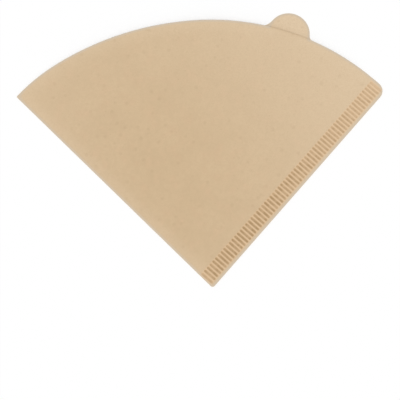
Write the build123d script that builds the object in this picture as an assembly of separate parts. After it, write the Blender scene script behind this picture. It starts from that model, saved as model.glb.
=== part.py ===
"""Cone paper coffee filter, lying flat as it comes out of the pack.

One sheet of unbleached paper is folded in two. The fold is the left edge, and the right edges of the
two plies are crimped together by a row of pressed grooves, so the sheet is a cone-shaped pocket with its
tip at the bottom. The back ply is flat and has a round pull tab. The front ply rises a little towards
the mouth, as a cone from the pocket's tip, so the pocket stands slightly open.

Millimetres, +Z up. The sheet is drawn with its tip at the origin and its middle line along +Y, and is
set at the end with the centre of its bounding box over the origin and its back ply on Z = 0.
"""

from math import cos, floor, radians, sin, sqrt, tan
import os

from build123d import *

# Sheet: the mouth is cut in two arcs that meet smoothly on the middle line
ply = 0.18
tip_angle = 87.2
mouth_height = 120.4
mouth_fold_radius = 131.0
mouth_seam_radius = 110.6
tip_radius = 1.2
fold_corner_radius = 1.8
seam_corner_radius = 4.4

# Pull tab on the back ply, with a broader root on the fold's side
tab_radius = 9.5
tab_angle = 20.5
tab_inset = 0.35
tab_fold_root_radius = 6.2
tab_seam_root_radius = 3.2

# Crimped seam: a row of grooves in the front, and narrower ones in the back halfway between them
crimp_margin = 1.4
crimp_width = 6.5
crimp_pitch = 1.81
crimp_start = 1.23
crimp_end = 0.9
front_groove_width = 1.12
back_groove_width = 0.76
groove_depth = 0.17
groove_taper = 38.0
press_edge = 0.5

# Pocket: its height where it is as long as the mouth is high, and how evenly the front ply bows
gape = 1.3
gape_lean = 1.0

# Two plies pressed together, and half of the angle at the tip
pressed = 2 * ply
half_angle = radians(tip_angle / 2)

# Directions in plan: along each edge from the tip, and square to it into the paper
fold_way = Vector(-sin(half_angle), cos(half_angle))
fold_inward = Vector(cos(half_angle), sin(half_angle))
seam_way = Vector(sin(half_angle), cos(half_angle))

# Centre of the mouth's arc on the seam side, and a length past the paper on every side
mouth_crown = Vector(0, mouth_height)
seam_arc_centre = mouth_crown - Vector(0, mouth_seam_radius)
reach = 2 * mouth_height


def crossing(fold_inset, seam_inset):
    """Point where lines parallel to the fold and to the seam, moved into the paper, cross."""
    along_fold = (seam_inset + fold_inset * cos(2 * half_angle)) / sin(2 * half_angle)
    return fold_inward * fold_inset + fold_way * along_fold


def mouth_end(start, way, radius):
    """Point where an edge that leaves a point in one direction meets the mouth's arc of a radius."""
    to_centre = mouth_crown - Vector(0, radius) - start
    along = to_centre.dot(way)
    return start + way * (along + sqrt(radius**2 - to_centre.length**2 + along**2))


def sheet_plan(fold_margin):
    """Outline of the folded sheet from above: two straight edges and the mouth, corners rounded.

    It is widened past the fold by a margin, so that what it trims keeps the fold's own round edge.
    """
    tip = crossing(-fold_margin, 0)
    fold_end = mouth_end(tip, fold_way, mouth_fold_radius)
    seam_end = mouth_end(tip, seam_way, mouth_seam_radius)
    fold_arc = RadiusArc(fold_end, mouth_crown, mouth_fold_radius)
    seam_arc = RadiusArc(mouth_crown, seam_end, mouth_seam_radius)
    plan = make_face([Line(tip, fold_end), fold_arc, seam_arc, Line(seam_end, tip)])
    corners = [(tip, tip_radius), (fold_end, fold_corner_radius), (seam_end, seam_corner_radius)]
    for corner, radius in corners:
        plan = fillet(plan.vertices().sort_by_distance(corner)[0], radius)
    return plan


def folded_plate():
    """Two plies pressed flat with the fold's round edge, larger than the paper on its cut sides."""
    across_fold = Plane((0, 0, 0), x_dir=fold_inward, z_dir=fold_way * -1)
    section = Pos(ply, ply) * Circle(ply)
    section += Pos((ply + reach) / 2, ply) * Rectangle(reach - ply, pressed)
    return extrude(across_fold * section, reach, both=True)


def pocket_space():
    """Space between the plies, as a ruled cone from the pocket's tip, with its flat side on Z = 0.

    Across the pocket, with s from 0 at the fold to 1 at the seam, it is s (1 - s) (s + lean) high,
    scaled to the gape. That is one cubic curve, and it leans the crest of the gape to the seam side.
    """
    tip = crossing(ply, crimp_margin + crimp_width + press_edge)
    width = 2 * reach * tan(half_angle)
    crest = (1 - gape_lean + sqrt(1 + gape_lean + gape_lean**2)) / 3
    height = gape * reach / mouth_height / (crest * (1 - crest) * (crest + gape_lean))
    fold_point = (-width / 2, 0)
    fold_control = (-width / 6, height * gape_lean / 3)
    seam_control = (width / 6, height * (1 + gape_lean) / 3)
    seam_point = (width / 2, 0)
    profile = make_face(
        [Bezier(fold_point, fold_control, seam_control, seam_point), Line(seam_point, fold_point)]
    )
    past_mouth = Plane((tip.X, tip.Y + reach, 0), x_dir=(1, 0, 0), z_dir=(0, -1, 0))
    return loft([Vertex(tip.X, tip.Y, 0), past_mouth * profile], ruled=True)


def groove(width):
    """Space of one groove with sloping sides, along Y, pressed up into the paper from Z = 0."""
    return extrude(Rectangle(width, crimp_width), groove_depth, taper=groove_taper)


def crimp_row(shape, start):
    """Copies of a groove along the seam, square to its edge, from a first place as far as the mouth."""
    seam_plane = Plane((0, 0, 0), x_dir=seam_way, z_dir=(0, 0, 1))
    seam_length = mouth_end(Vector(0, 0), seam_way, mouth_seam_radius).length
    past_fold = max(0, (crimp_margin + crimp_width) / tan(2 * half_angle))
    first = past_fold + start
    count = floor((seam_length - crimp_end - first) / crimp_pitch) + 1
    middle = crimp_margin + crimp_width / 2
    places = [Pos(first + number * crimp_pitch, middle) for number in range(count)]
    return [seam_plane.location * place * shape for place in places]


def pull_tab():
    """Round tab on the back ply, centred just inside the mouth, with a rounded root on each side."""
    heading = Vector(sin(radians(tab_angle)), cos(radians(tab_angle)))
    middle = seam_arc_centre + heading * (mouth_seam_radius - tab_inset)

    def is_root(vertex):
        """Whether a corner lies both on the tab's edge and on the mouth's."""
        off_tab = abs((Vector(vertex) - middle).length - tab_radius)
        off_mouth = abs((Vector(vertex) - seam_arc_centre).length - mouth_seam_radius)
        return max(off_tab, off_mouth) < ply

    plan = sheet_plan(0) + Pos(middle) * Circle(tab_radius)
    for root_radius in (tab_fold_root_radius, tab_seam_root_radius):
        root = plan.vertices().filter_by(is_root).sort_by(Axis.X)[0]
        plan = fillet(root, root_radius)
    around = tab_radius + 2 * max(tab_fold_root_radius, tab_seam_root_radius)
    return extrude(plan & Pos(middle) * Circle(around), ply)


pocket = pocket_space()
outline = extrude(Pos(0, 0, -ply) * sheet_plan(ply / 2), reach)
front_groove = Pos(0, 0, pressed) * mirror(groove(front_groove_width), Plane.XY)
back_groove = groove(back_groove_width)

filter_paper = folded_plate() + Pos(0, 0, pressed) * pocket
filter_paper &= outline
filter_paper -= Pos(0, 0, ply) * pocket
filter_paper -= crimp_row(front_groove, crimp_start)
filter_paper -= crimp_row(back_groove, crimp_start + crimp_pitch / 2)
filter_paper += pull_tab()

box = filter_paper.bounding_box()
filter_paper = Pos(-box.center().X, -box.center().Y, -box.min.Z) * filter_paper

os.makedirs("parts", exist_ok=True)
export_step(filter_paper, "parts/filter_paper.step")
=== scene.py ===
"""Cone paper coffee filter: one sheet of unbleached paper, folded and crimped, flat on a pale stage.

Metres, +Z up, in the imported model's frame. The sheet's plan is worked out with its tip at the origin
and its middle line along +Y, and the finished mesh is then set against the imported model's box.
"""

from math import cos, pi, radians, sin, tan

import bpy
from bpy.props import FloatProperty, FloatVectorProperty, IntProperty, PointerProperty
from mathutils import Matrix, Vector
import numpy as np


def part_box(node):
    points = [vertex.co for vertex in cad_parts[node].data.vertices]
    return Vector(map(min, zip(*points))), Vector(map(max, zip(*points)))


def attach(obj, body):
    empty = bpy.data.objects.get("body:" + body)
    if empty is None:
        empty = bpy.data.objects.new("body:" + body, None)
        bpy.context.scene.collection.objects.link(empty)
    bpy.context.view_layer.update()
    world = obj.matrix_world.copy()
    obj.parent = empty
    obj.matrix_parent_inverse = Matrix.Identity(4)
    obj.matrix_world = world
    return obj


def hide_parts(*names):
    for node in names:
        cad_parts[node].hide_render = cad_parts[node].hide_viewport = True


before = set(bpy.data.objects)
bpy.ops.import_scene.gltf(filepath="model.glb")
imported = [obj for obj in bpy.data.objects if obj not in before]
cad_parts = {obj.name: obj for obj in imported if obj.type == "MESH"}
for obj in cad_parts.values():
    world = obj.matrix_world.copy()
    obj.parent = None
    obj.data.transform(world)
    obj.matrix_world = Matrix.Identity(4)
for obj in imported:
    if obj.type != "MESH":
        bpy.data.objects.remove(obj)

bl_info = {
    "name": "Cone Coffee Filter",
    "version": (1, 0, 0),
    "blender": (4, 5, 0),
    "location": "3D View > Sidebar > Filter",
    "description": "Makes a crimped paper coffee filter and a pale stage for it",
    "category": "Add Mesh",
}

NODE = "filter_paper"

# Grid: rows in one pitch of the crimp, as parts of the pitch from a groove's middle
ROW_PLACES = np.array([-0.39, -0.33, -0.28, -0.22, -0.12, 0.0, 0.12, 0.22, 0.28, 0.33, 0.39, 0.5])
# Columns of the crimp: in its margin and in the pressed edge as parts of them, round the grooves' ends
# as parts of a groove's length, and the number between those ends
MARGIN_PLACES = np.array([0, 0.09, 0.23, 0.4, 0.57, 0.79])
END_PLACES = np.array([-0.016, 0.006, 0.026, 0.054, 0.091, 0.13])
MIDDLE_COLUMNS = 5
PRESS_EDGE_PLACE = 0.4
# Length over which the crimp's rows stretch to meet its ends, in pitches and in the corner's radii
LOW_STRETCH = 1.6
HIGH_STRETCH = 2
# Fine rows of the crimp to one row of the pocket, and rows of its inner walls and of the tab
FINE_PER_ROW = 6
INNER_ROWS = 40
TAB_ROWS = 10
# Columns of the pocket: before the tab, behind its roots and its circle, after it, and in the corner
BEFORE_TAB = 10
ROOT_COLUMNS = 7
CIRCLE_COLUMNS = 26
AFTER_TAB = 34
CORNER_COLUMNS = 6
# Shape: number of soft waves, and how their lengths spread round the usual one
WAVE_COUNT = 7
WAVE_SPREAD = (0.6, 1.8)
# How far the middle of a pressed edge stands out, and over how much the fold sets in, in plies
EDGE_MIDDLE = 0.3
FOLD_FADE = 4
# Turn past which an edge is shaded sharp
SHARP_ANGLE = radians(40)
# Tone: ranges of noise that are stretched, for features as common as their ground, less so, and rare
COMMON = (0.3, 0.7)
LESS_COMMON = (0.35, 0.7)
RARE = (0.45, 0.75)
# Parts of a width over which a tone along an edge, or a speck's, is at its full strength
RIM_CORE = 0.2
EDGE_CORE = 0.4
SPECK_CORE = 0.3
# Pitches at each end of the row over which the grooves' tone is fainter
END_PITCHES = 1.5
# Width of the painted shadow line where the front's edge crosses the tab, and of its fading in from the
# tab's sides, in plies
CROSSING_SHADOW_WIDTH = 2
CROSSING_SHADOW_FADE = 6


def setting_kind(make, **fixed):
    """A function that declares one kind of setting by name, description and default."""

    def declare(name, description, default):
        return make(name=name, description=description, default=default, **fixed)

    return declare


# Lengths and places in metres, parts of a whole, and linear colours
length = setting_kind(FloatProperty, min=0, precision=5, unit="LENGTH")
point = setting_kind(FloatVectorProperty, size=3, precision=5, subtype="TRANSLATION")
share = setting_kind(FloatProperty, min=0, max=1, subtype="FACTOR")
colour = setting_kind(FloatVectorProperty, size=3, min=0, max=1, subtype="COLOR")


def angle(name, description, degrees):
    """An angle, with its default in degrees."""
    return setting_kind(FloatProperty, subtype="ANGLE")(name, description, radians(degrees))


class SheetSettings(bpy.types.PropertyGroup):
    """Sizes of the folded sheet and its pull tab."""

    ply: length("Ply", "Thickness of the paper", 0.00018)
    tip_angle: angle("Tip angle", "Angle between the fold and the seam", 87.2)
    mouth_height: length("Mouth height", "From the tip to the crown of the mouth", 0.1204)
    mouth_fold_radius: length("Mouth radius at the fold", "Radius of the mouth's left arc", 0.131)
    mouth_seam_radius: length("Mouth radius at the seam", "Radius of the mouth's right arc", 0.1106)
    mouth_end_radius: length("Mouth end radius", "Radius of the mouth's end at the fold", 0.083)
    mouth_end_length: length("Mouth end length", "Length of that last stretch", 0.022)
    tip_radius: length("Tip radius", "Rounding of the tip", 0.0012)
    fold_corner_radius: length("Fold corner", "Rounding of the mouth's left corner", 0.0006)
    seam_corner_radius: length("Seam corner", "Rounding of the mouth's right corner", 0.0044)
    tab_radius: length("Tab radius", "Radius of the pull tab", 0.0095)
    tab_angle: angle("Tab angle", "Heading of the tab, from the middle line towards the seam", 20.62)
    tab_inset: length("Tab inset", "How far the tab's middle lies inside the mouth", 0.00035)
    tab_fold_root: length("Tab root at the fold", "Rounding of the tab's left root", 0.0062)
    tab_seam_root: length("Tab root at the seam", "Rounding of the tab's right root", 0.0032)
    gape: length("Gape", "How far the front ply stands off the back ply at the mouth", 0.0013)
    gape_lean: share("Gape lean", "How evenly the front ply bows: 0 leans it to the seam", 1.0)
    cockle: length("Cockle", "Height of the soft waves in the front ply", 0.00006)
    cockle_length: length("Cockle length", "Usual length of a soft wave", 0.032)
    cockle_seed: setting_kind(IntProperty)("Cockle seed", "Which set of soft waves", 7)


class CrimpSettings(bpy.types.PropertyGroup):
    """Sizes of the crimped seam."""

    margin: length("Margin", "Plain paper between the crimp and the seam's edge", 0.0014)
    width: length("Width", "Length of a groove, across the seam", 0.0065)
    pitch: length("Pitch", "From one groove to the next along the seam", 0.00181)
    start: length("Start", "From the fold to the middle of the first groove", 0.00123)
    end: length("End", "Least distance from the last groove to the mouth", 0.0009)
    front_width: length("Front groove", "Width of a groove in the front", 0.00112)
    back_width: length("Back groove", "Width of a groove in the back", 0.00076)
    depth: length("Depth", "Depth of a groove", 0.00017)
    taper: angle("Taper", "Slope of a groove's sides, off the upright", 38.0)
    softness: length("Softness", "Rounding of a groove's rim and foot", 0.00006)
    tone_blur: length("Tone blur", "How much softer a groove's dark tone is than its sides", 0.00025)
    end_fade: length("End fade", "Length over which its tone sets in at the seam's side", 0.0005)
    end_faint: share("End faintness", "How much fainter the tone of the row's two end grooves is", 0.45)
    press_edge: length("Press edge", "Pressed paper between the crimp and the pocket", 0.0005)


class PaperSettings(bpy.types.PropertyGroup):
    """Colours and surface of the unbleached paper, with its painted light and shade."""

    light_colour: colour("Light", "Paper where the pulp is thin", (0.656, 0.488, 0.304))
    dark_colour: colour("Dark", "Paper where the pulp is thick", (0.626, 0.463, 0.286))
    warm_colour: colour("Warm", "Tint of the warmer patches", (0.662, 0.472, 0.295))
    # Used for paper paler along the edges and on the tab, and for the painted gradient of light
    pale_and_lit_colour: colour("Pale", "Paper that has dried paler", (0.760, 0.595, 0.410))
    edge_colour: colour("Edge", "Cut and folded edges", (0.645, 0.535, 0.405))
    fibre_colour: colour("Fibre", "Felted fibres", (0.575, 0.420, 0.258))
    fleck_colour: colour("Fleck", "Specks of bark in the pulp", (0.300, 0.190, 0.100))
    # Painted highlight: the crimp's ridges are painted lighter, as where they catch the light
    ridge_highlight_colour: colour("Ridge", "Paper rubbed light between the grooves", (0.840, 0.562, 0.335))
    # The grooves' tone: paper pressed dense, darkened further with painted shade in the grooves; it also
    # tints the painted crossing shadow
    groove_and_shade_colour: colour("Groove", "Paper pressed dense in the grooves", (0.436, 0.289, 0.150))
    cloud_size: length("Cloud size", "Size of the soft light and dark patches", 0.016)
    patch_size: length("Patch size", "Size of the warmer patches", 0.005)
    mottle_size: length("Mottle size", "Size of the small uneven spots of the pulp", 0.0022)
    fibre_size: length("Fibre size", "Spacing of the felted fibres", 0.0006)
    fleck_spacing: length("Fleck spacing", "Spacing of the sharp specks", 0.0035)
    fleck_radius: length("Fleck radius", "Greatest radius of a sharp speck", 0.00025)
    spot_spacing: length("Spot spacing", "Spacing of the soft dark spots", 0.005)
    spot_radius: length("Spot radius", "Greatest radius of a soft dark spot", 0.0012)
    edge_width: length("Edge width", "How far in the tone of an edge reaches", 0.0013)
    rim_width: length("Rim width", "How far in the paper is paler along an edge", 0.007)
    rim_share: share("Rim share", "How pale the paper is along an edge", 0.28)
    # Painted light: the paper is painted paler the further it lies from this place, in a broad gradient
    # of light
    light_gradient_from: point("Pale from", "Place round which the paper gets paler", (-0.016, -0.01, 0.0))
    light_gradient_turn: angle("Pale turn", "Way in which it gets paler soonest, from +X towards +Y", 32.7)
    light_gradient_stretch: setting_kind(FloatProperty)(
        "Pale stretch", "How many times further it goes the other way", 1.6
    )
    light_gradient_reach: length("Pale reach", "How far from there the paper is palest", 0.115)
    light_gradient_share: share("Pale share", "How pale the paper gets there", 0.8)
    patch_share: share("Patch share", "How warm the warmer patches are", 0.7)
    mottle_share: share("Mottle share", "How dark the small uneven spots are", 0.28)
    felt_share: share("Felt share", "How dark the felted fibres are", 0.4)
    fleck_share: share("Fleck share", "How dark the sharp specks are", 0.25)
    spot_share: share("Spot share", "How dark the soft spots are", 0.09)
    edge_share: share("Edge share", "How strong the tone of an edge is", 0.85)
    single_share: share("Single share", "How much paler single paper is, on the tab", 0.95)
    # Painted shadow: a dark line on the front's edge where it crosses the tab
    crossing_shadow_share: share("Crossing share", "How dark the front's edge is over the tab", 0.3)
    # Share of the ridges' painted highlight
    ridge_highlight_share: share("Ridge share", "How much of the ridge's colour the crimp takes", 0.36)
    groove_share: share("Groove share", "How much of the groove's colour the grooves take", 0.97)
    groove_fade: share("Groove fade", "How much less of it they take where the paper is pale", 0.58)
    groove_least: share("Groove least", "How much of it a groove's faintest places take", 0.72)
    groove_swing: share("Groove swing", "How much more of it the darkest places take", 0.5)
    relief: length("Relief", "Height of the felted fibres", 0.00003)
    roughness: share("Roughness", "How matt the paper is", 0.92)
    gloss: share("Gloss", "How much the paper mirrors", 0.2)
    sheen: share("Sheen", "How much its fibres glow at a flat angle", 0.05)


class StageSettings(bpy.types.PropertyGroup):
    """Floor, light and camera."""

    floor_width: length("Floor width", "Width of the floor", 4.0)
    floor_gap: length("Floor gap", "Gap that keeps the floor clear of the paper", 0.00002)
    sky: share("Sky", "Share of the light that comes from all round", 0.55)
    key_elevation: angle("Key elevation", "Height of the key light", 70.0)
    key_azimuth: angle("Key azimuth", "Heading of the key light, from +X towards +Y", -95.0)
    key_softness: angle("Key softness", "Width of the key light as the paper sees it", 24.0)
    aim: point("Aim", "Point that the camera looks at", (-0.001648, -0.02278, 0.0))
    distance: length("Distance", "From the camera to the point that it looks at", 0.415)
    elevation: angle("Elevation", "Height of the camera above the paper, seen from the tip", 82.0)
    heading: angle("Heading", "Turn of the picture's upright off the middle line", 2.21)
    lens: setting_kind(FloatProperty, unit="CAMERA")("Lens", "Focal length on a 36 mm sensor", 84.9)


def smooth(ramp):
    """Soft step: 3 r r - 2 r r r, with r held between 0 and 1."""
    held = np.clip(ramp, 0, 1)
    return held * held * (3 - 2 * held)


def heading_of(way):
    """Heading of a way, from +X towards +Y."""
    return np.arctan2(way[1], way[0])


def ways_at(heading):
    """Unit ways in plan at such headings."""
    return np.stack([np.cos(heading), np.sin(heading)], axis=-1)


def reach_to_circle(start, ways, centre, radius):
    """Distances from a point along unit ways to the far side of a circle.

    That is b + sqrt(b b - c), with b the part of the way to the centre that lies along each way, and c
    the square of the distance to the centre less the square of the radius.
    """
    to_centre = centre - start
    along = ways @ to_centre
    return along + np.sqrt(np.maximum(along**2 - to_centre @ to_centre + radius**2, 0))


def arc(centre, start, end, count):
    """Points from start to end on the circle about a centre, the shorter way round, evenly spaced."""
    first = heading_of(start - centre)
    turn = (heading_of(end - centre) - first + pi) % (2 * pi) - pi
    heading = first + turn * np.linspace(0, 1, count)
    radius = np.linalg.norm(start - centre)
    return centre + radius * ways_at(heading)


def towards(start, end, distance):
    """The point at a distance from one point towards another."""
    way = end - start
    return start + way * (distance / np.linalg.norm(way))


class SheetPlan:
    """The folded sheet in plan, drawn one ply inside its edges, where they start to turn down.

    A place near the seam is given by its inset from the seam's edge and its distance along it.
    """

    def __init__(self, sheet, crimp):
        self.sheet, self.crimp, self.ply = sheet, crimp, sheet.ply
        self.half = sheet.tip_angle / 2
        sine, cosine = sin(self.half), cos(self.half)
        self.seam_way = np.array([sine, cosine])
        self.seam_inward = np.array([-cosine, sine])
        self.fold_way = np.array([-sine, cosine])
        self.fold_inward = np.array([cosine, sine])
        self.seam_centre = np.array([0, sheet.mouth_height - sheet.mouth_seam_radius])
        self.fold_centre = np.array([0, sheet.mouth_height - sheet.mouth_fold_radius])
        self.tab_way = np.array([sin(sheet.tab_angle), cos(sheet.tab_angle)])
        self.tab_reach = sheet.mouth_seam_radius - sheet.tab_inset
        self.tab_middle = self.seam_centre + self.tab_way * self.tab_reach
        self.press_inset = crimp.margin + crimp.width + crimp.press_edge
        self.first_groove = crimp.start + max(0, (crimp.margin + crimp.width) / tan(2 * self.half))
        tip = np.zeros(2)
        seam_length = reach_to_circle(tip, self.seam_way, self.seam_centre, sheet.mouth_seam_radius)
        self.groove_count = int((seam_length - crimp.end - self.first_groove) / crimp.pitch) + 1
        self.pocket_tip = self.place(self.press_inset, self.band_start(self.press_inset))
        fold_length = reach_to_circle(tip, self.fold_way, self.fold_centre, sheet.mouth_fold_radius)
        turn = heading_of(self.fold_way * fold_length - self.fold_centre)
        turn -= sheet.mouth_end_length / sheet.mouth_fold_radius
        self.turn_way = ways_at(turn)
        self.end_centre = self.fold_centre + self.turn_way * (
            sheet.mouth_fold_radius - sheet.mouth_end_radius
        )
        corner = self.fold_inward * sheet.fold_corner_radius
        up_fold = reach_to_circle(
            corner, self.fold_way, self.end_centre, sheet.mouth_end_radius - sheet.fold_corner_radius
        )
        self.fold_corner = corner + self.fold_way * up_fold
        self.mouth_arcs = (
            (self.seam_centre, sheet.mouth_seam_radius),
            (self.fold_centre, sheet.mouth_fold_radius),
            (self.end_centre, sheet.mouth_end_radius),
        )

    def place(self, inset, along):
        """Points at insets from the seam's edge and distances along it."""
        inset, along = np.broadcast_arrays(inset, along)
        return inset[..., None] * self.seam_inward + along[..., None] * self.seam_way

    def band_start(self, inset):
        """Distance along the seam where the paper starts: on the fold's line, or on the tip's arc."""
        radius = self.sheet.tip_radius
        cosine, sine = cos(2 * self.half), sin(2 * self.half)
        on_fold = (self.ply + inset * cosine) / sine
        drop = np.sqrt(np.maximum((radius - self.ply) ** 2 - (inset - radius) ** 2, 0))
        on_arc = radius * (1 + cosine) / sine - drop
        return np.where(inset < radius + (radius - self.ply) * cosine, on_arc, on_fold)

    def band_end(self, inset):
        """Distance along the seam where the paper ends: on the mouth's arc, or on its corner's arc."""
        radius, mouth = self.sheet.seam_corner_radius, self.sheet.mouth_seam_radius
        middle_inset = self.seam_centre @ self.seam_inward
        middle_along = self.seam_centre @ self.seam_way
        on_mouth = middle_along + np.sqrt((mouth - self.ply) ** 2 - (inset - middle_inset) ** 2)
        corner = middle_along + np.sqrt((mouth - radius) ** 2 - (radius - middle_inset) ** 2)
        rise = np.sqrt(np.maximum((radius - self.ply) ** 2 - (inset - radius) ** 2, 0))
        turn = radius + (radius - self.ply) * (radius - middle_inset) / (mouth - radius)
        return np.where(inset < turn, corner + rise, on_mouth)

    def on_own_arc(self, points, values):
        """Of values for the mouth's three arcs, the one for the arc on whose stretch each point lies.

        The first stretch is right of the middle line. The last is on the fold's side of the way along
        which the centres of the second and the third arc lie.
        """
        on_seam_arc, on_fold_arc, on_end_arc = values
        away = points - self.end_centre
        past_turn = self.turn_way[0] * away[..., 1] > self.turn_way[1] * away[..., 0]
        return np.where(points[..., 0] > 0, on_seam_arc, np.where(past_turn, on_end_arc, on_fold_arc))

    def tab_line(self):
        """The tab's edge: a round root, the circle in two halves, and a round root."""
        sheet, ply, centre, middle = self.sheet, self.ply, self.seam_centre, self.tab_middle
        out, from_centre = self.tab_way, self.tab_reach
        aside = np.array([-out[1], out[0]])
        top = middle + out * (sheet.tab_radius - ply)
        sides = []
        for side, root_radius in ((-1, sheet.tab_seam_root), (1, sheet.tab_fold_root)):
            to_root, to_tab = sheet.mouth_seam_radius + root_radius, sheet.tab_radius + root_radius
            along = (from_centre**2 + to_root**2 - to_tab**2) / (2 * from_centre)
            root = centre + out * along + aside * (side * np.sqrt(to_root**2 - along**2))
            on_mouth = towards(centre, root, sheet.mouth_seam_radius - ply)
            on_tab = towards(middle, root, sheet.tab_radius - ply)
            root_line = arc(root, on_mouth, on_tab, ROOT_COLUMNS + 1)[:-1]
            tab_side = arc(middle, on_tab, top, CIRCLE_COLUMNS // 2 + 1)[:-1]
            sides.append(np.concatenate([root_line, tab_side]))
        return np.concatenate([sides[0], top[None], sides[1][::-1]])

    def mouth_line(self, tab_line):
        """The mouth's edge over the pocket, from the crimp to the fold, as if there were no tab.

        Its points are spread by heading from the pocket's tip, evenly behind the tab, and evenly round
        the corner at the fold.
        """
        sheet, ply = self.sheet, self.ply
        start = self.place(self.press_inset, self.band_end(self.press_inset))
        corner_start = towards(self.end_centre, self.fold_corner, sheet.mouth_end_radius - ply)
        corner_end = self.fold_corner - self.fold_inward * (sheet.fold_corner_radius - ply)
        return np.concatenate(
            [
                self.mouth_between(start, tab_line[0], BEFORE_TAB)[:-1],
                arc(self.seam_centre, tab_line[0], tab_line[-1], len(tab_line))[:-1],
                self.mouth_between(tab_line[-1], corner_start, AFTER_TAB)[:-1],
                arc(self.fold_corner, corner_start, corner_end, CORNER_COLUMNS + 1),
            ]
        )

    def mouth_between(self, start, end, count):
        """Points on the mouth's three arcs, evenly by heading as seen from the pocket's tip."""
        tip = self.pocket_tip
        ways = ways_at(np.linspace(heading_of(start - tip), heading_of(end - tip), count + 1))
        reaches = [
            reach_to_circle(tip, ways, centre, radius - self.ply) for centre, radius in self.mouth_arcs
        ]
        near_mouth = tip + ways * reaches[1][:, None]
        return tip + ways * self.on_own_arc(near_mouth, reaches)[:, None]

    def bow(self, points):
        """Height of the front ply over the pressed sheet: a cone from the pocket's tip, and soft waves.

        With s from 0 at the fold to 1 at the seam, and h the height up the pocket, the cone is h times
        s (1 - s) (s + lean), scaled to the gape. The waves are twice the mean of a few sines, times their
        height, and are faded out by h s (1 - s).
        """
        sheet = self.sheet
        from_tip = points - self.pocket_tip
        up = np.maximum(from_tip[..., 1], 1e-9)
        across = np.clip(0.5 + from_tip[..., 0] / up / tan(self.half) / 2, 0, 1)
        lean = sheet.gape_lean
        crest = (1 - lean + (1 + lean + lean**2) ** 0.5) / 3
        hump = across * (1 - across) * (across + lean) / (crest * (1 - crest) * (crest + lean))
        chance = np.random.default_rng(sheet.cockle_seed)
        headings = chance.uniform(0, pi, WAVE_COUNT)
        lengths = sheet.cockle_length * chance.uniform(*WAVE_SPREAD, WAVE_COUNT)
        ways = ways_at(headings).T / lengths
        waves = np.sin(2 * pi * (points @ ways) + chance.uniform(0, 2 * pi, WAVE_COUNT)).mean(-1)
        fade = 4 * across * (1 - across)
        return up / sheet.mouth_height * (sheet.gape * hump + sheet.cockle * fade * 2 * waves)

    def press(self, points, width, offset, blur):
        """How far each point lies in a groove, from 0 on the plain paper to 1 on the groove's floor.

        It is a soft step of the distance to the nearest groove's middle line, which is as much shorter
        than the groove as the groove is wide, so that its ends are round. A blur widens the step.
        """
        crimp = self.crimp
        inset, along = points @ self.seam_inward, points @ self.seam_way - offset
        number = np.clip(np.rint((along - self.first_groove) / crimp.pitch), 0, self.groove_count - 1)
        aside = along - self.first_groove - number * crimp.pitch
        beyond = abs(inset - crimp.margin - crimp.width / 2) - (crimp.width - width) / 2
        distance = np.hypot(aside, np.maximum(beyond, 0))
        slope = crimp.depth * tan(crimp.taper) + 2 * crimp.softness + blur
        return smooth((width / 2 + crimp.softness + blur / 2 - distance) / slope)

    def front_press(self, points, blur=0.0):
        """How far points lie in the front's grooves."""
        return self.press(points, self.crimp.front_width, 0, blur)

    def back_press(self, points, blur=0.0):
        """How far points lie in the back's grooves, halfway between the front's."""
        return self.press(points, self.crimp.back_width, self.crimp.pitch / 2, blur)

    def tone_strength(self, points):
        """How strong the grooves' tone is. It sets in at the seam's side, and the end ones are faint."""
        crimp = self.crimp
        inset, along = points @ self.seam_inward, points @ self.seam_way - self.first_groove
        from_end = np.minimum(along, (self.groove_count - 1) * crimp.pitch - along)
        faint = crimp.end_faint * (1 - smooth(from_end / (END_PITCHES * crimp.pitch)))
        return smooth((inset - crimp.margin) / crimp.end_fade) * (1 - faint)

    def fold_share(self, points):
        """1 where an edge is the fold, fading to 0 at the fold's two ends."""
        on_fold = abs(points @ self.fold_inward - self.ply) < 1e-3 * self.ply
        up = points @ self.fold_way
        tip_radius = self.sheet.tip_radius
        start = self.place(tip_radius, self.band_start(tip_radius)) @ self.fold_way
        end = self.fold_corner @ self.fold_way
        fade = FOLD_FADE * self.ply
        return on_fold * smooth((up - start) / fade) * smooth((end - up) / fade)

    def crimped(self, points):
        """1 on the crimp's band, which ends half a pitch past its last grooves, and 0 off it."""
        crimp = self.crimp
        inset, along = points @ self.seam_inward, points @ self.seam_way - self.first_groove
        in_width = crimp.width / 2 - abs(inset - crimp.margin - crimp.width / 2)
        in_row = crimp.pitch / 2 + np.minimum(along, (self.groove_count - 1) * crimp.pitch - along)
        return smooth(0.5 + np.minimum(in_width, in_row) / (4 * crimp.softness))

    def tones(self, points):
        """What the paper's tone follows, for points of the surface.

        It is how far they lie inside the outline of the sheet and its tab, in metres, and shares of
        being single paper, as on the tab, of being on the crimp, which gets a painted highlight, and of
        the painted shadow on the front ply's edge where it crosses the tab. Where two edges meet in a
        round corner, the inset is the radius less the distance from its centre.
        """
        sheet, plan_points = self.sheet, points[:, :2]
        circles = (*self.mouth_arcs, (self.tab_middle, sheet.tab_radius))
        *in_arcs, in_tab = (
            radius - np.linalg.norm(plan_points - centre, axis=1) for centre, radius in circles
        )
        in_mouth = self.on_own_arc(plan_points, in_arcs)
        in_end = np.maximum(in_mouth, in_tab)
        in_fold, in_seam = plan_points @ self.fold_inward, plan_points @ self.seam_inward
        corners = [
            (in_fold, in_end, sheet.fold_corner_radius),
            (in_seam, in_end, sheet.seam_corner_radius),
            (in_fold, in_seam, sheet.tip_radius),
        ]
        least = np.minimum(np.minimum(in_fold, in_seam), in_end)
        for first, second, radius in corners:
            rounded = radius - np.hypot(radius - first, radius - second)
            least = np.where((first < radius) & (second < radius), rounded, least)
        single = np.clip(-in_mouth / self.ply - 1, 0, 1)
        on_front = points[:, 2] > 1.5 * self.ply
        over_tab = np.clip(in_tab / (CROSSING_SHADOW_FADE * self.ply), 0, 1)
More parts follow.
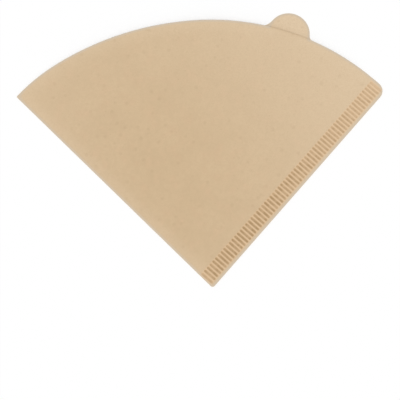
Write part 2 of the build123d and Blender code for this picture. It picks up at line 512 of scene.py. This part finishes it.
        # A painted shadow line on the front's edge over the tab
        painted_crossing_shadow = on_front * over_tab * np.clip(1 - in_mouth / (CROSSING_SHADOW_WIDTH * self.ply), 0, 1)
        crimped = self.crimped(plan_points)
        return {"inset": least, "single": single, "crimped": crimped, "painted_crossing_shadow": painted_crossing_shadow}


class Surface:
    """Vertices with their pressed shares, and faces, collected from grids of shared vertices."""

    def __init__(self, plan):
        self.plan = plan
        self.points = []
        self.pressed = []
        self.faces = []
        self.count = 0

    def add(self, plan_points, heights, pressed=0.0):
        """Adds vertices over plan points at heights, and returns their numbers in the same layout."""
        shape = plan_points.shape[:-1]
        heights = np.broadcast_to(heights, shape)
        self.points.append(np.concatenate([plan_points, heights[..., None]], axis=-1).reshape(-1, 3))
        self.pressed.append(np.broadcast_to(pressed, shape).ravel())
        numbers = np.arange(self.count, self.count + heights.size).reshape(shape)
        self.count += heights.size
        return numbers

    def place(self, numbers):
        """Plan points and heights of vertices."""
        points = np.concatenate(self.points)[numbers]
        return points[..., :2], points[..., 2]

    def join(self, grid, flip=False):
        """Faces of a grid, outwards on the side from which its rows, then its columns, turn left.

        Where two neighbours in the grid are one vertex, as at a pole, the face is a triangle.
        """
        corners = [grid[:-1, :-1], grid[1:, :-1], grid[1:, 1:], grid[:-1, 1:]]
        quads = np.stack(corners, axis=-1).reshape(-1, 4)
        same = quads == np.roll(quads, -1, axis=1)
        whole = ~same.any(axis=1)
        self.add_faces(quads[whole], flip)
        self.add_faces(quads[~whole][~same[~whole]].reshape(-1, 3), flip)

    def join_fine(self, fine, coarse, flip=False):
        """Faces between a fine line of vertices and a coarse one, each along several fine steps."""
        steps = np.arange(len(coarse) - 1)[:, None] * FINE_PER_ROW + np.arange(FINE_PER_ROW + 1)
        self.add_faces(np.column_stack([fine[steps], coarse[1:], coarse[:-1]]), flip)

    def add_faces(self, faces, flip):
        """Keeps faces of one size, turned over where asked."""
        self.faces += (faces[:, ::-1] if flip else faces).tolist()

    def mesh(self, name, low_corner, high_corner):
        """A Blender mesh of it all, set against a box's floor and its sides at the tip and the seam.

        The other two sides are left to the tab and to the fold's corner, which differ a little from the
        solid's. Its vertices carry how far they are pressed, and what else the paper's tone follows.
        """
        points = np.concatenate(self.points)
        used = np.isin(np.arange(len(points)), [number for face in self.faces for number in face])
        renumber = np.cumsum(used) - 1
        points = points[used]
        shift = low_corner - points.min(0)
        shift[0] = high_corner[0] - points[:, 0].max()
        made = bpy.data.meshes.new(name)
        faces = [renumber[face].tolist() for face in self.faces]
        made.from_pydata((points + shift).tolist(), [], faces)
        tones = {"pressed": np.concatenate(self.pressed)[used], **self.plan.tones(points)}
        for tone, values in tones.items():
            carried = made.attributes.new(tone, "FLOAT", "POINT")
            carried.data.foreach_set("value", values.astype(np.float32))
        made.shade_smooth()
        made.set_sharp_from_angle(angle=SHARP_ANGLE)
        return made


def across_places(crimp, ply):
    """Insets of the crimp's columns: closer in the margin and round the ends of the grooves."""
    ends = crimp.width * END_PLACES
    margin = ply + (crimp.margin - ply) * MARGIN_PLACES
    inner, outer = crimp.margin + ends, crimp.margin + crimp.width - ends[::-1]
    middle = np.linspace(inner[-1], outer[0], MIDDLE_COLUMNS + 2)[1:-1]
    last = [outer[-1] + PRESS_EDGE_PLACE * crimp.press_edge]
    return np.concatenate([margin, inner, middle, outer, last])


def seam_rows(plan):
    """Distances along the seam of the fine rows, closer on the grooves' sides, from tip to mouth."""
    crimp = plan.crimp
    first, last = plan.band_start(plan.press_inset), plan.band_end(plan.press_inset)
    middles = plan.first_groove + np.arange(plan.groove_count) * crimp.pitch
    rows = (middles[:, None] + ROW_PLACES * crimp.pitch).ravel()
    least = 0.03 * crimp.pitch
    rows = rows[(rows > first + least) & (rows < last - least)]
    spare = -(len(rows) + 1) % FINE_PER_ROW
    tail = np.linspace(rows[-1], last, spare + 2)[1:]
    return np.concatenate([[first], rows, tail])


def band_points(plan, rows, insets):
    """Plan points of the crimp's grid: straight rows, stretched near both ends to meet the outline."""
    first, last = rows[0], rows[-1]
    low_part, high_part = LOW_STRETCH * plan.crimp.pitch, HIGH_STRETCH * plan.sheet.seam_corner_radius
    low_share = np.clip(1 - (rows - first) / low_part, 0, 1)[:, None]
    high_share = np.clip(1 - (last - rows) / high_part, 0, 1)[:, None]
    low, high = plan.band_start(insets) - first, plan.band_end(insets) - last
    return plan.place(insets, rows[:, None] + low * low_share + high * high_share)


def outline_chain(band, pocket):
    """Vertices of one side's whole edge, leftwards round it: seam, mouth, fold, and round the tip."""
    seam, mouth_end, tip_end = band[:, 0], band[-1, 1:], band[0, :0:-1]
    mouth, fold, tip = pocket[-1], pocket[-2:0:-1, -1], pocket[:1, 0]
    return np.concatenate([seam, mouth_end, mouth, fold, tip, tip_end])


def outward(points):
    """Unit ways square to a closed line of points and out of it, halfway between those of its runs."""
    runs = np.roll(points, -1, axis=0) - points
    ways = np.stack([runs[:, 1], -runs[:, 0]], axis=-1) / np.linalg.norm(runs, axis=1)[:, None]
    both = ways + np.roll(ways, 1, axis=0)
    return both / np.linalg.norm(both, axis=1)[:, None]


def rim_rows(surface, plan_points, low, high, ply, fold, front):
    """The three rows of vertices between the face and the middle of an edge, for one ply.

    A cut edge is nearly square: sideways it stands out as the root of a half sine, and it drops as the
    signed root of a cosine. On the fold both plies share one half circle. The two are mixed.
    """
    rows = []
    ways = outward(plan_points)
    for step in (1, 2, 3):
        part = step / 4
        quarter = part if front else 1 - part
        cut_out, cut_drop = sin(pi * part) ** 0.5, np.sign(2 - step) * abs(cos(pi * part)) ** 0.5
        out = ply * (cut_out * (1 - fold) + sin(pi / 2 * quarter) * fold)
        cut_height = (high + low) / 2 + (high - low) / 2 * cut_drop
        fold_height = high - (high - low) * (1 - cos(pi / 2 * part))
        if not front:
            fold_height = low + (high - low) * (1 - sin(pi / 2 * part))
        height = cut_height * (1 - fold) + fold_height * fold
        rows.append(surface.add(plan_points + ways * out[:, None], height))
    return rows


def build_sheet(sheet, crimp, low_corner, high_corner):
    """The whole folded sheet as one closed surface.

    Four faces carry it: the front's and the back's outer faces, and the two inner walls of the pocket.
    On the crimp their grid is square to the seam. On the pocket it is a fan from the pocket's tip, so a
    column is a straight line of the cone. Rims close the cut edges and the fold.
    """
    plan = SheetPlan(sheet, crimp)
    surface = Surface(plan)
    ply = plan.ply

    # The crimp's grid, and the pocket's fan with its mouth
    rows = seam_rows(plan)
    band = band_points(plan, rows, across_places(crimp, ply))
    tab_line = plan.tab_line()
    mouth = plan.mouth_line(tab_line)
    root, last_root = BEFORE_TAB, BEFORE_TAB + len(tab_line) - 1
    up = ((rows[::FINE_PER_ROW] - rows[0]) / (rows[-1] - rows[0]))[:, None, None]
    fan = plan.pocket_tip + up * (mouth - plan.pocket_tip)

    # Outer faces
    strength = plan.tone_strength(band)
    # The grooves' tone, partly pressed paper and partly painted shade
    front_tone = plan.front_press(band, crimp.tone_blur) * strength
    back_tone = plan.back_press(band, crimp.tone_blur) * strength
    top_band = surface.add(band, 2 * ply - crimp.depth * plan.front_press(band), front_tone)
    bottom_band = surface.add(band, crimp.depth * plan.back_press(band), back_tone)
    top_fan = surface.add(fan, 2 * ply + plan.bow(fan))
    bottom_fan = surface.add(fan, 0)
    for outer_band, pocket, flip in ((top_band, top_fan, False), (bottom_band, bottom_fan, True)):
        pocket[0] = pocket[0, 0]
        surface.join(outer_band, flip)
        surface.join(pocket, flip)
        surface.join_fine(outer_band[:, -1], pocket[:, 0], flip)

    # Edges of both sides, where the back's runs round the tab
    top_edge = outline_chain(top_band, top_fan)
    bottom_edge = outline_chain(bottom_band, bottom_fan)
    mouth_start = len(top_band) + top_band.shape[1] - 1
    tab_edge = surface.add(tab_line[1:-1], 0)
    bottom_edge[mouth_start + root + 1 : mouth_start + last_root] = tab_edge
    top_points, top_heights = surface.place(top_edge)
    bottom_points, bottom_heights = surface.place(bottom_edge)
    fold = plan.fold_share(top_points)

    # Middle of the rims: one line where the plies are pressed together, two along the pocket's mouth
    over_mouth = slice(mouth_start, mouth_start + len(mouth))
    stand_out = ply * (EDGE_MIDDLE + (1 - EDGE_MIDDLE) * fold)[:, None]
    middle_heights = (top_heights + bottom_heights) / 2
    middle_heights[over_mouth] = ply
    upper_heights = middle_heights.copy()
    upper_heights[over_mouth] = top_heights[over_mouth] - ply
    upper = surface.add(top_points + outward(top_points) * stand_out, upper_heights)
    lower = surface.add(bottom_points + outward(bottom_points) * stand_out, middle_heights)
    pressed_part = np.ones(len(upper), bool)
    pressed_part[mouth_start + 1 : mouth_start + len(mouth) - 1] = False
    lower[pressed_part] = upper[pressed_part]

    # Rims
    front_rows = rim_rows(surface, top_points, upper_heights, top_heights, ply, fold, True)
    back_rows = rim_rows(surface, bottom_points, bottom_heights, middle_heights, ply, fold, False)
    for rim in ([top_edge, *front_rows, upper], [lower, *back_rows, bottom_edge]):
        rim = np.stack(rim)
        surface.join(np.column_stack([rim, rim[:, :1]]))

    # Inner walls of the pocket, which meet along the fold, along the crimp and at its tip
    inner_up = np.linspace(0, 1, INNER_ROWS + 1)[:, None, None]
    inner = plan.pocket_tip + inner_up * (mouth - plan.pocket_tip)
    under_front = surface.add(inner, ply + plan.bow(inner))
    over_back = surface.add(inner, ply)
    under_front[0] = over_back[0] = over_back[0, 0]
    under_front[:, 0], under_front[:, -1] = over_back[:, 0], over_back[:, -1]
    under_front[-1] = upper[over_mouth]
    over_back[-1, : root + 1] = lower[over_mouth][: root + 1]
    over_back[-1, last_root:] = lower[over_mouth][last_root:]
    surface.join(under_front, flip=True)
    surface.join(over_back)

    # Tab: both faces run straight from the mouth's line out to the tab's edge
    tab_mouth = mouth[root : last_root + 1]
    tab_up = np.linspace(0, 1, TAB_ROWS + 1)[:, None, None]
    tab = tab_mouth + tab_up * (tab_line - tab_mouth)
    tab_top, tab_bottom = surface.add(tab, ply), surface.add(tab, 0)
    behind_tab = slice(root, last_root + 1)
    tab_top[0], tab_top[-1] = over_back[-1, behind_tab], lower[over_mouth][behind_tab]
    tab_bottom[0], tab_bottom[-1] = bottom_fan[-1, behind_tab], bottom_edge[over_mouth][behind_tab]
    for face in (tab_top, tab_bottom):
        face[:, 0], face[:, -1] = face[0, 0], face[0, -1]
    surface.join(tab_top)
    surface.join(tab_bottom, flip=True)
    return surface.mesh("folded_filter", low_corner, high_corner)


def set_inputs(tree, node, inputs):
    """Sets values on a shader node's inputs, or links outputs to them."""
    for name, value in inputs.items():
        if isinstance(value, bpy.types.NodeSocket):
            tree.links.new(value, node.inputs[name])
        else:
            node.inputs[name].default_value = value


def add_node(tree, kind, inputs=None, **values):
    """Adds a shader node with values set on it and on its inputs."""
    made = tree.nodes.new(kind)
    for name, value in values.items():
        setattr(made, name, value)
    set_inputs(tree, made, inputs or {})
    return made


def noise(tree, place, size, **inputs):
    """Noise with features of a size in metres, as a number about one half."""
    named = {name.title(): value for name, value in inputs.items()}
    inputs = {"Vector": place, "Scale": 1 / size, **named}
    return add_node(tree, "ShaderNodeTexNoise", inputs).outputs["Fac"]


def spread(tree, value, low, high):
    """Stretches a range of a number to 0 and 1, held at both ends."""
    inputs = {"Value": value, "From Min": low, "From Max": high}
    made = add_node(tree, "ShaderNodeMapRange", inputs, interpolation_type="SMOOTHSTEP")
    return made.outputs["Result"]


def scaled(tree, value, factor, start=0.0):
    """A start and a number times a factor, each a number or a link."""
    inputs = {0: value, 1: factor, 2: start}
    return add_node(tree, "ShaderNodeMath", inputs, operation="MULTIPLY_ADD").outputs[0]


def attribute(tree, name):
    """A number that the mesh's vertices carry."""
    return add_node(tree, "ShaderNodeAttribute", attribute_name=name).outputs["Fac"]


def mixed(tree, share_of_second, first, second):
    """Mix of two colours, each a colour or a link."""
    made = add_node(tree, "ShaderNodeMix", {"Factor": share_of_second}, data_type="RGBA")
    places = [number for number, socket in enumerate(made.inputs) if socket.type == "RGBA"]
    for number, value in zip(places, (first, second)):
        linked = isinstance(value, bpy.types.NodeSocket)
        set_inputs(tree, made, {number: value if linked else (*value, 1)})
    return next(socket for socket in made.outputs if socket.type == "RGBA")


def specks(tree, place, spacing, radius):
    """Round specks that fade from their middles, one to a cell, and smaller where off the surface."""
    inputs = {"Vector": place, "Scale": 1 / spacing, "Randomness": 1.0}
    cells = add_node(tree, "ShaderNodeTexVoronoi", inputs)
    return spread(tree, cells.outputs["Distance"], radius / spacing, SPECK_CORE * radius / spacing)


def paper_material(paper):
    """Unbleached filter paper: felted fibres, cloudy pulp with warmer patches, and specks of bark.

    It is paler along its edges, and paler still in a painted gradient of light. The crimp's ridges get
    a painted highlight, and its grooves are darker where it has pressed them dense and with painted
    shade. A painted shadow darkens the front's edge where it crosses the tab.
    """
    material = bpy.data.materials.new("unbleached_filter_paper")
    material.use_nodes = True
    tree = material.node_tree
    place = tree.nodes.new("ShaderNodeTexCoord").outputs["Object"]

    clouds = spread(tree, noise(tree, place, paper.cloud_size, detail=4.0), *COMMON)
    patches = spread(tree, noise(tree, place, paper.patch_size, detail=3.0), *RARE)
    mottle = spread(tree, noise(tree, place, paper.mottle_size, detail=1.0), *LESS_COMMON)
    fibres = noise(tree, place, paper.fibre_size, detail=4.0, roughness=0.65, distortion=1.2)
    felt = spread(tree, fibres, *LESS_COMMON)
    flecks = specks(tree, place, paper.fleck_spacing, paper.fleck_radius)
    spots = specks(tree, place, paper.spot_spacing, paper.spot_radius)
    stretch = {
        "Vector": place,
        "Location": paper.light_gradient_from,
        "Rotation": (0, 0, paper.light_gradient_turn),
        "Scale": (1, paper.light_gradient_stretch, 1),
    }
    turned = add_node(tree, "ShaderNodeMapping", stretch, vector_type="TEXTURE").outputs["Vector"]
    away = add_node(tree, "ShaderNodeVectorMath", {0: turned}, operation="LENGTH").outputs["Value"]
    # Painted light: a broad gradient, paler further from the given place
    pale = spread(tree, away, 0.0, paper.light_gradient_reach)
    inset = attribute(tree, "inset")
    rim = spread(tree, inset, paper.rim_width, RIM_CORE * paper.rim_width)
    edge = spread(tree, inset, paper.edge_width, EDGE_CORE * paper.edge_width)
    uneven = spread(tree, noise(tree, place, paper.mottle_size, detail=2.0), *COMMON)
    uneven = scaled(tree, uneven, paper.groove_swing, paper.groove_least)
    # The grooves' tone is fainter where the painted light is strong
    where_light_gradient = scaled(tree, pale, -paper.light_gradient_share * paper.groove_fade, paper.groove_share)
    held = scaled(tree, uneven, where_light_gradient)

    # Layers of colour over the clouds: where each lies, how strong it is there, and its colour
    layers = (
        (patches, paper.patch_share, paper.warm_colour),
        (mottle, paper.mottle_share, paper.fibre_colour),
        # Painted light gradient
        (pale, paper.light_gradient_share, paper.pale_and_lit_colour),
        (attribute(tree, "single"), paper.single_share, paper.pale_and_lit_colour),
        (rim, paper.rim_share, paper.pale_and_lit_colour),
        (felt, paper.felt_share, paper.fibre_colour),
        (flecks, paper.fleck_share, paper.fleck_colour),
        (spots, paper.spot_share, paper.fleck_colour),
        (edge, paper.edge_share, paper.edge_colour),
        # Painted shadow where the front's edge crosses the tab
        (attribute(tree, "painted_crossing_shadow"), paper.crossing_shadow_share, paper.groove_and_shade_colour),
        # Painted highlight on the crimp's ridges
        (attribute(tree, "crimped"), paper.ridge_highlight_share, paper.ridge_highlight_colour),
        # Grooves: pressed paper darker in part, and painted shade in the grooves
        (attribute(tree, "pressed"), held, paper.groove_and_shade_colour),
    )
    shade = mixed(tree, clouds, paper.dark_colour, paper.light_colour)
    for where, strength, tint in layers:
        shade = mixed(tree, scaled(tree, where, strength), shade, tint)
    bump = {"Height": fibres, "Distance": paper.relief, "Strength": 1.0}
    finish = {
        "Base Color": shade,
        "Normal": add_node(tree, "ShaderNodeBump", bump).outputs["Normal"],
        "Roughness": paper.roughness,
        "Specular IOR Level": paper.gloss,
        "Sheen Weight": paper.sheen,
    }
    set_inputs(tree, tree.nodes["Principled BSDF"], finish)
    return material


def add_object(name, data):
    """A new object in the scene."""
    made = bpy.data.objects.new(name, data)
    bpy.context.scene.collection.objects.link(made)
    return made


class FILTER_OT_add_sheet(bpy.types.Operator):
    """Make the folded and crimped sheet in unbleached paper"""

    bl_idname = "filter.add_sheet"
    bl_label = "Add Folded Sheet"

    def execute(self, context):
        scene = context.scene
        low, high = (np.array(corner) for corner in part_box(NODE))
        mesh = build_sheet(scene.filter_sheet, scene.filter_crimp, low, high)
        if mesh.validate(verbose=False):
            raise RuntimeError("the folded sheet's surface has faces that don't fit together")
        sheet = add_object("folded_filter", mesh)
        mesh.materials.append(paper_material(scene.filter_paper))
        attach(sheet, "root")
        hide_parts(NODE)
        return {"FINISHED"}


def floor_material():
    """Matt white that renders as white where the light reaches it, and keeps the soft shadow."""
    material = bpy.data.materials.new("white_floor")
    material.use_nodes = True
    tree = material.node_tree
    finish = {"Base Color": (1, 1, 1, 1), "Roughness": 1.0, "Specular IOR Level": 0.0}
    set_inputs(tree, tree.nodes["Principled BSDF"], finish)
    return material


def light_sky(scene, strength):
    """Even light from all round, which the camera sees as plain white."""
    scene.world = scene.world or bpy.data.worlds.new("white_sky")
    scene.world.use_nodes = True
    tree = scene.world.node_tree
    tree.nodes.clear()
    rays = tree.nodes.new("ShaderNodeLightPath").outputs
    either = {0: rays["Is Camera Ray"], 1: rays["Is Glossy Ray"]}
    seen = add_node(tree, "ShaderNodeMath", either, operation="MAXIMUM")
    lit, white = (
        add_node(tree, "ShaderNodeBackground", {"Color": (1, 1, 1, 1), "Strength": level})
        for level in (strength, 1.0)
    )
    joined = {0: seen.outputs[0], 1: lit.outputs[0], 2: white.outputs[0]}
    both = add_node(tree, "ShaderNodeMixShader", joined)
    add_node(tree, "ShaderNodeOutputWorld", {"Surface": both.outputs[0]})


class FILTER_OT_add_stage(bpy.types.Operator):
    """Make the pale floor, the soft light and the camera over the paper"""

    bl_idname = "filter.add_stage"
    bl_label = "Add Stage"

    def execute(self, context):
        scene = context.scene
        stage = scene.filter_stage
        self.add_floor(stage)
        light_sky(scene, stage.sky)
        self.add_key(stage)
        scene.camera = self.add_camera(stage)
        scene.view_settings.view_transform = "Standard"
        return {"FINISHED"}

    def add_floor(self, stage):
        """A square floor just under the paper."""
        corners = stage.floor_width / 2 * np.array([(-1, -1, 0), (1, -1, 0), (1, 1, 0), (-1, 1, 0)])
        corners[:, 2] = -stage.floor_gap
        mesh = bpy.data.meshes.new("floor")
        mesh.from_pydata(corners.tolist(), [], [(0, 1, 2, 3)])
        mesh.materials.append(floor_material())
        floor = add_object("floor", mesh)

    def add_key(self, stage):
        """A broad key light, as strong as the sky leaves room for on a level surface."""
        light = bpy.data.lights.new("key", "SUN")
        light.energy = (1 - stage.sky) * pi / sin(stage.key_elevation)
        light.angle = stage.key_softness
        key = add_object("key", light)
        level = cos(stage.key_elevation)
        way = Vector((
            level * cos(stage.key_azimuth), level * sin(stage.key_azimuth), sin(stage.key_elevation)
        ))
        key.rotation_euler = way.to_track_quat("Z", "Y").to_euler()

    def add_camera(self, stage):
        """A camera over the tip's side of the paper, turned so that its upright follows the heading."""
        picture_up = Vector((sin(stage.heading), cos(stage.heading), 0))
        right = Vector((cos(stage.heading), -sin(stage.heading), 0))
        back = Vector((0, 0, 1)) * sin(stage.elevation) - picture_up * cos(stage.elevation)
        place = Vector(stage.aim) + back * stage.distance
        turn = Matrix((right, back.cross(right), back)).transposed()
        data = bpy.data.cameras.new("camera")
        data.lens = stage.lens
        data.clip_start = stage.distance / 100
        camera = add_object("camera", data)
        camera.matrix_world = Matrix.Translation(place) @ turn.to_4x4()
        return camera


class FILTER_PT_panel(bpy.types.Panel):
    """Lists the filter's sizes, finish and stage."""

    bl_idname = "FILTER_PT_panel"
    bl_label = "Cone Coffee Filter"
    bl_space_type = "VIEW_3D"
    bl_region_type = "UI"
    bl_category = "Filter"

    def draw(self, context):
        for name, title, _ in GROUPS:
            box = self.layout.box()
            box.label(text=title)
            settings = getattr(context.scene, name)
            for key in settings.bl_rna.properties.keys():
                if key not in ("rna_type", "name"):
                    box.prop(settings, key)
        self.layout.operator(FILTER_OT_add_sheet.bl_idname)
        self.layout.operator(FILTER_OT_add_stage.bl_idname)


GROUPS = (
    ("filter_sheet", "Sheet", SheetSettings),
    ("filter_crimp", "Crimp", CrimpSettings),
    ("filter_paper", "Paper", PaperSettings),
    ("filter_stage", "Stage", StageSettings),
)
CLASSES = (*(group[2] for group in GROUPS), FILTER_OT_add_sheet, FILTER_OT_add_stage, FILTER_PT_panel)


def register():
    """Registers the classes and puts their settings on the scene."""
    for each in CLASSES:
        bpy.utils.register_class(each)
    for name, *_, group in GROUPS:
        setattr(bpy.types.Scene, name, PointerProperty(type=group))


def unregister():
    """Takes the settings off the scene and the classes out."""
    for name, *_ in GROUPS:
        delattr(bpy.types.Scene, name)
    for each in reversed(CLASSES):
        bpy.utils.unregister_class(each)


def main():
    """Makes the sheet and the stage."""
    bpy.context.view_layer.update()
    register()
    bpy.ops.filter.add_sheet()
    bpy.ops.filter.add_stage()


if __name__ == "__main__":
    main()
